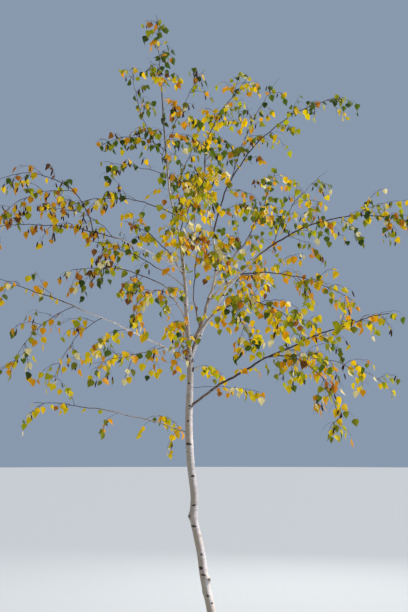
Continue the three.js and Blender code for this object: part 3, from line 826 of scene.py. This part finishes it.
def grow_twig(limb, points, draw, vigour=1.0):
    """A twig with its side shoots, leaves and catkins, if it is clear of the limbs."""
    line = Line(points)
    tests = [line.at(line.total * share) for share in TWIG_TESTS]
    if not (inside(points) and all(clear_of_limbs(test, TWIG_SLACK) for test in tests)):
        return
    path = wandering(points, draw, *TWIG_WANDER)
    line = Line(path)
    t = np.linspace(0, 1, len(path))
    radii = mix(*TWIG_DIAMETER, t) / 2 * vigour
    twigs.add(*tube(path, radii * (1 + 0.5 * np.exp(-t * line.total / 6)), 5))
    count = max(1, int(round(line.total / SHOOT_SPACING)))
    for i in range(count):
        s = line.total * (i + draw(0.35, 0.75)) / count
        along = line.along(s)
        side = level_side(along, i % 2)
        first = unit(leaning(along, side, draw(*SHOOT_LEAN)) + vector(0, 0, draw(-0.15, 0.35)))
        shoot = grow_shoot(line.at(s), first, draw(*SHOOT_LENGTH) * (1 - 0.35 * s / line.total))
        if not shoot:
            continue
        if draw() < mix(LEAFED_SHOOTS, 1, limb.leafy):
            leaf_run(shoot, 0.3, 1.15, limb, draw)
        if draw() < catkin_share(limb):
            hang_catkin(shoot, draw(0.5, 0.97), draw)
    leaf_run(line, 0.18, 1.35, limb, draw)
    if draw() < 2.2 * catkin_share(limb):
        for _ in range(1 + int(draw() * 2.4)):
            hang_catkin(line, draw(0.55, 0.99), draw)


def grow_spur(limb, start, along, place, draw, length):
    """A short shoot with one to four leaves, on wood that is otherwise bare."""
    side = rolled_side(along, GOLDEN_ANGLE * place + SPUR_ROLL * limb.index)
    shoot = grow_shoot(start, leaning(along, side, draw(*SPUR_LEAN)), length)
    if not shoot:
        return
    leaf_run(shoot, 0.45, 1, SimpleNamespace(mood=limb.mood, leafy=1), draw)
    if draw() < 0.6 * catkin_share(limb):
        hang_catkin(shoot, draw(0.6, 0.97), draw)


def limb_spurs(limb):
    bare = min(limb.bare_to, limb.length)
    start = bare * SPUR_START.get(limb.name, 0.2)
    for place in range(int((bare - start) / SPUR_SPACING)):
        draw = Draws(limb.seed, SPUR_KEY + place)
        s = start + SPUR_SPACING * (place + draw(0.2, 0.8))
        if draw() < SPUR_SHARE * limb.leafy:
            grow_spur(limb, on_curve(limb, s), limb.line.along(s), place, draw, draw(*SPUR_LENGTH))


def trunk_spurs():
    low, high = TRUNK_SPURS
    for place in range(int((high - low) / SPUR_SPACING)):
        draw = Draws(TRUNK_SPUR_KEY, place)
        height = low + SPUR_SPACING * (place + draw(0.2, 0.8))
        limb = SimpleNamespace(index=50, mood="gold" if height < 3050 else "green")
        grow_spur(limb, trunk_at(height)[0, :3], -DOWN, place, draw, draw(*SPUR_LENGTH) * 1.2)


def grow_sprig(index, parent, at, azimuth, rise, rise_end, length, thick, bare, mood, hanging):
    """A shoot set where one stands out, with its leaves and catkins."""
    draw = Draws(SPRIG_KEY, index)
    start = on_curve(limbs[parent], at) if parent in limbs else trunk_at(at)[0, :3]
    form = SimpleNamespace(name="", azimuth=azimuth, swing=0, rise=rise, rise_end=rise_end, length=length)
    path = wandering(smoothed(arc_of(form, start).points, TWIG_STEP), draw, *TWIG_WANDER)
    line = Line(path)
    twigs.add(*tube(path, mix(thick, SPRIG_TIP, np.linspace(0, 1, len(path))) / 2, 5))
    limb = SimpleNamespace(mood=mood, leafy=1)
    count = ceil(line.total * (1 - bare) / SHOOT_SPACING - 0.5)
    for i in range(count):
        s = line.total * mix(bare, 0.95, (i + draw(0.2, 0.8)) / count)
        along = line.along(s)
        first = unit(along + level_side(along, i % 2) * draw(0.5, 1.1))
        shoot = grow_shoot(line.at(s), first, draw(40, 80), droop=1.4, step=18)
        if shoot:
            leaf_run(shoot, 0.4, 1.3, limb, draw)
    if bare < 1:
        leaf_run(line, bare, 1.6, limb, draw)
    for _ in range(hanging):
        hang_catkin(line, draw(0.5, 0.98), draw)


def stations(length, first, spacing, reach, draw):
    """Places about a spacing apart."""
    for place in np.arange(first, length, spacing):
        yield place + draw(-reach, reach)


def limb_tube(limb):
    """A limb's bark, with its collar, knots and dark rings, and how white it is."""
    curve = limb.curve
    count = max(8, int(curve.total / FINE_STEP))
    shares = np.linspace(0, 1, count)
    path = np.array([curve.at(s) for s in shares * curve.total])
    path[:, 2] = np.minimum(path[:, 2], HIGH[2] - REACH_MARGIN)
    reach = shares * limb.length
    radii = radius_on(limb, reach)
    if limb.bare_to <= 0:
        radii = radii * 0.85
    radii = radii * (1 + 0.55 * np.exp(-reach / (1.3 * limb.base)))
    draw = Draws(limb.index, KNOT_KEY)
    for at in stations(limb.length, *KNOTS, draw):
        radii = radii * (1 + 0.14 * np.exp(-((reach - at) / 6.5) ** 2))
    sides = 12 if limb.base > 12 else 9 if limb.base > 7 else 7
    form, faces = tube(path, radii, sides)
    strength, reached = WHITE_BARK.get(limb.name, (0, 1))
    white = (strength + WHITER_UP.get(limb.name, 0) * shares) * ramp(radii, 1.6, 3.2)
    white = white * (1 - ramp(shares, 0.75 * reached, 1.3 * reached))
    dark = np.zeros(count)
    for at in stations(limb.length, *DARK_RINGS, draw):
        dark = np.maximum(dark, draw(0.4, 1.0) * np.exp(-((reach - at) / 5.0) ** 2))
    dark = np.maximum(dark, np.exp(-(reach / (0.8 * limb.base)) ** 2))
    if limb.base > 9:
        for k, point in enumerate(form[:-2]):
            middle = path[k // sides]
            bump = noise.noise(Vector(point) * 0.05) * 0.09 + noise.noise(Vector(point) * 0.22) * 0.04
            form[k] = middle + (point - middle) * (1 + bump)
    boughs.add(form, faces, white=spread_over(sides, white), mark=spread_over(sides, dark))


def grow_limb(limb):
    limb_tube(limb)
    limb_spurs(limb)
    if limb.bare_to >= limb.length:
        return
    count = max(2, int((limb.length - limb.bare_to) / TWIG_SPACING * limb.fullness + 0.5))
    for k in range(count):
        draw = Draws(limb.seed, k)
        grow_twig(limb, twig_line(limb, k, count, draw), draw)
        draw = Draws(limb.seed, BETWEEN_KEY + k)
        points = twig_line(limb, k + 0.5, count + 0.5, draw)
        grow_twig(limb, points[:max(4, int(len(points) * 0.8))], draw, 0.85)
    draw = Draws(limb.seed, END_KEY)
    points = limb.curve.points
    thin = Line(points[int(len(points) * (0.55 if limb.bare_to else 0.3)):])
    leaf_run(thin, 10 / thin.total, 1.6, limb, draw)
    tint = draw.pick(MOODS[limb.mood])
    hang_leaf(points[-1], limb.curve.along(limb.curve.total), tint, draw)


for limb in limbs.values():
    grow_limb(limb)
trunk_spurs()
for place, sprig in enumerate(SPRIGS):
    grow_sprig(place, *sprig)

# Materials.


def colour(code):
    """An sRGB code as linear RGBA."""
    values = [int(code[i:i + 2], 16) / 255 for i in (1, 3, 5)]
    return tuple(v / 12.92 if v <= 0.04045 else ((v + 0.055) / 1.055) ** 2.4 for v in values) + (1.0,)


class Graph:
    """A node material, put together by short calls."""

    def __init__(self, name):
        self.material = bpy.data.materials.new(name)
        self.material.use_nodes = True
        self.nodes = self.material.node_tree.nodes
        self.nodes.clear()
        self.place = self.node("TexCoord")["Object"]

    def node(self, kind, inputs=(), **settings):
        """The outputs of a new node."""
        made = self.nodes.new("ShaderNode" + kind)
        for name, value in settings.items():
            setattr(made, name, value)
        for key, value in dict(inputs).items():
            self.join(made.inputs[key], value)
        return made.outputs

    def join(self, socket, value):
        """Links the socket to an output, or sets it to a number, a vector or a colour's code."""
        if isinstance(value, bpy.types.NodeSocket):
            self.material.node_tree.links.new(value, socket)
        else:
            socket.default_value = colour(value) if isinstance(value, str) else value

    def stretched(self, scale):
        return self.node("Mapping", {"Vector": self.place, "Scale": scale})[0]

    def noise(self, scale, detail=3.0, rough=0.5, stretch=None):
        place = self.stretched(stretch) if stretch else self.place
        inputs = {"Vector": place, "Scale": scale, "Detail": detail, "Roughness": rough}
        return self.node("TexNoise", inputs)["Fac"]

    def attribute(self, name):
        return self.node("Attribute", attribute_name=name)["Fac"]

    def span(self, value, low, high, to_low=0.0, to_high=1.0):
        inputs = {"Value": value, "From Min": low, "From Max": high, "To Min": to_low, "To Max": to_high}
        return self.node("MapRange", inputs, interpolation_type="SMOOTHSTEP")[0]

    def maths(self, operation, a, b):
        return self.node("Math", {0: a, 1: b}, operation=operation)[0]

    def blend(self, share, a, b):
        return self.node("Mix", {0: share, 6: a, 7: b}, data_type="RGBA")[2]

    def shift(self, value, low, high, a, b, most=1.0):
        """From colour a towards b, as far as most, while the value goes from low to high."""
        return self.blend(self.span(value, low, high, 0, most), a, b)

    def bump(self, height, strength, distance):
        return self.node("Bump", {"Height": height, "Strength": strength, "Distance": distance})[0]

    def skin(self, base, rough, gloss, relief):
        inputs = {"Base Color": base, "Roughness": rough, "Specular IOR Level": gloss, "Normal": relief}
        return self.node("BsdfPrincipled", inputs)[0]

    def finish(self, shader):
        self.node("OutputMaterial", {"Surface": shader})
        return self.material


def leaf_material(tint):
    face, through = TINTS[tint]
    g = Graph("leaf_" + tint)
    grain = g.noise(420)
    relief = g.bump(g.maths("ADD", grain, g.noise(120, 2)), 0.35, 0.0008)
    blade = g.skin(face, g.span(grain, 0.3, 0.7, 0.5, 0.72), 0.25, relief)
    glow = g.node("BsdfTranslucent", {"Color": through, "Normal": relief})[0]
    return g.finish(g.node("MixShader", {0: LEAF_GLOW, 1: blade, 2: glow})[0])


def bark_material(name, thin):
    """White papery bark with dark lenticels, scars and bands, turning brown where the wood is thin; on the
    trunk, painted shade on the side away from the sun and near the ground.
    """
    g = Graph(name)
    white = g.attribute("white")
    bands = g.noise(9, 4, 0.6, (1, 1, 9))
    paper = g.noise(30, 4, 0.6, (1, 1, 6))
    dashes = g.noise(62, 2, 0.55, (1, 1, 7.5))
    specks = g.noise(170, 2, 0.5, (1, 1, 4))
    cloud = g.noise(7)
    bright, dull = ("#F6F1EE", "#E4DCDA") if thin else ("#E6DFE0", "#CFC4C3")
    clean = g.shift(bands, 0.38, 0.66, bright, dull)
    clean = g.shift(paper, 0.45, 0.75, clean, "#B3A39A", 0.3 if thin else 0.55)
    clean = g.shift(cloud, 0.5, 0.75, clean, "#D9C2A6", 0.35)
    if not thin:
        # painted shade: the trunk's side away from the sun and its lowest part turn to darker beige-grey
        # #AD9F86 and #B09C8A
        painted_shade_share = g.maths("MULTIPLY", g.attribute("painted_shade"), g.span(cloud, 0.3, 0.6, 0.75, 1.0))
        clean = g.blend(painted_shade_share, clean, g.shift(bands, 0.35, 0.65, "#AD9F86", "#B09C8A"))
    lenticel = g.span(dashes, 0.64, 0.70)
    clean = g.blend(g.maths("MULTIPLY", lenticel, 0.85), clean, "#4A3A30")
    clean = g.shift(specks, 0.68, 0.74, clean, "#5B493C", 0.6)
    brown = g.shift(paper, 0.35, 0.7, "#3A2427", "#5E4340")
    brown = g.shift(dashes, 0.6, 0.66, brown, "#97807A", 0.8)
    young = g.shift(paper, 0.35, 0.7, "#84705A", "#A58E78")
    bark = g.shift(white, 0.05, 0.45, brown, young)
    bark = g.shift(white, 0.45, 0.9, bark, clean)
    mark = g.maths("ADD", g.attribute("mark"), g.span(paper, 0.3, 0.7, -0.16, 0.16))
    bark = g.blend(g.maths("MULTIPLY", g.span(mark, 0.34, 0.62), 0.93), bark, "#241C19")
    height = g.maths("SUBTRACT", g.maths("ADD", paper, bands), g.maths("MULTIPLY", lenticel, 0.5))
    if not thin:
        foot = g.attribute("foot")
        push = g.node("TexNoise", {"Vector": g.place, "Scale": 55, "Detail": 2})["Color"]
        warped = g.node("VectorMath", {0: push, 1: [0.012] * 3, 2: g.stretched((1, 1, 0.28))},
                        operation="MULTIPLY_ADD")[0]
        edges = g.node("TexVoronoi", {"Vector": warped, "Scale": 75}, feature="DISTANCE_TO_EDGE")[0]
        crack = g.maths("MULTIPLY", g.span(edges, 0.02, 0.2, 1, 0), g.span(foot, 0.1, 0.8))
        bark = g.shift(foot, 0.1, 1.0, bark, "#85756A", 0.55)
        bark = g.blend(g.maths("MULTIPLY", crack, 0.85), bark, "#2E2622")
        height = g.maths("SUBTRACT", height, g.maths("MULTIPLY", crack, 1.6))
    rough = g.span(paper, 0.3, 0.7, 0.5, 0.78)
    return g.finish(g.skin(bark, rough, 0.35, g.bump(height, 0.5, 0.0012)))


def twig_material():
    g = Graph("twig_bark")
    streak = g.noise(90)
    spots = g.noise(520, 2)
    bark = g.shift(streak, 0.35, 0.7, "#38211F", "#553733")
    bark = g.shift(spots, 0.66, 0.72, bark, "#A88F80", 0.7)
    return g.finish(g.skin(bark, g.span(streak, 0.3, 0.7, 0.42, 0.62), 0.4, g.bump(spots, 0.4, 0.0004)))


def grained_material(name, fine, detail, tones, rough, gloss, strength, depth):
    """Two tones, roughness and relief that all follow one grain."""
    g = Graph(name)
    grain = g.noise(fine, detail)
    base = g.shift(grain, 0.35, 0.65, *tones)
    return g.finish(g.skin(base, g.span(grain, 0.3, 0.7, *rough), gloss, g.bump(grain, strength, depth)))


# The pieces.

trunk_pile().piece("trunk_bark", bark_material("birch_bark", False), "bark", "trunk")
boughs.piece("bough_bark", bark_material("bough_birch_bark", True), "branch_bark", "bough_")
twigs.piece("twigs", twig_material(), "branch_bark", "mass_")
stalk_skin = grained_material("leaf_stalk", 140, 2, ("#A98A38", "#8A6A35"), (0.45, 0.6), 0.4, 0.3, 0.0003)
stalks.piece("leaf_stalks", stalk_skin, "foliage", "mass_")
scales = grained_material("catkin_scales", 330, 3, ("#2E1416", "#4F2A24"), (0.6, 0.85), 0.3, 0.6, 0.0008)
catkins.piece("catkins", scales, "foliage", "mass_")
for tint, pile in leaves.items():
    pile.piece("leaves_" + tint, leaf_material(tint), "foliage", "mass_")

# Camera, floor and light.

CAMERA_PLACE = (-0.12, -5.2, 1.6)
CAMERA_PITCH = 99.5  # degrees from straight down
FLOOR_REACH = 70.0
FLOOR_SIDES = 120
CROWN = (-0.1, 0.0, 2.5)
SUN_WAY = (-6.0, -0.8, -5.0)

camera = placed("camera", bpy.data.cameras.new("camera"))
camera.data.lens = 50
camera.data.sensor_fit = "VERTICAL"
camera.data.sensor_height = 36
camera.location = CAMERA_PLACE
camera.rotation_euler = (radians(CAMERA_PITCH), 0, 0)
scene.camera = camera


def floor_material():
    g = Graph("floor")
    pale = colour("#B4B8BB")
    base = g.shift(g.noise(14), 0.3, 0.7, pale, tuple(0.97 * v for v in pale[:3]) + (1.0,))
    return g.finish(g.node("BsdfPrincipled", {"Base Color": base, "Roughness": 0.9})[0])


floor_turns = [2 * pi * i / FLOOR_SIDES for i in range(FLOOR_SIDES)]
floor_rim = [(FLOOR_REACH * cos(t), FLOOR_REACH * sin(t), 0.0) for t in floor_turns]
floor_mesh = bpy.data.meshes.new("floor")
floor_mesh.from_pydata(floor_rim, [], [tuple(range(FLOOR_SIDES))])
floor_mesh.materials.append(floor_material())
floor = placed("floor", floor_mesh)


def shine(name, kind, power, tone, way):
    """A light that shines along a way."""
    lamp = placed(name, bpy.data.lights.new(name, kind))
    lamp.data.energy = power
    lamp.data.color = tone
    lamp.rotation_euler = Vector(way).to_track_quat("-Z", "Y").to_euler()
    return lamp


for name, place, size, power, tone in (
    ("fill", (-4.5, -6.0, 4.0), 5.0, 18, (0.92, 0.96, 1.0)),
    ("back", (1.5, 6.5, 5.0), 4.0, 220, (1.0, 0.96, 0.9)),
):
    soft = shine(name, "AREA", power, tone, Vector(CROWN) - Vector(place))
    soft.location = place
    soft.data.shape = "DISK"
    soft.data.size = size
shine("key", "SUN", 5.0, (1.0, 0.95, 0.87), SUN_WAY).data.angle = radians(9)

world = bpy.data.worlds.new("studio")
world.use_nodes = True
background = world.node_tree.nodes["Background"]
background.inputs["Color"].default_value = (0.34, 0.43, 0.57, 1)
background.inputs["Strength"].default_value = 0.74
scene.world = world
scene.view_settings.view_transform = "Standard"
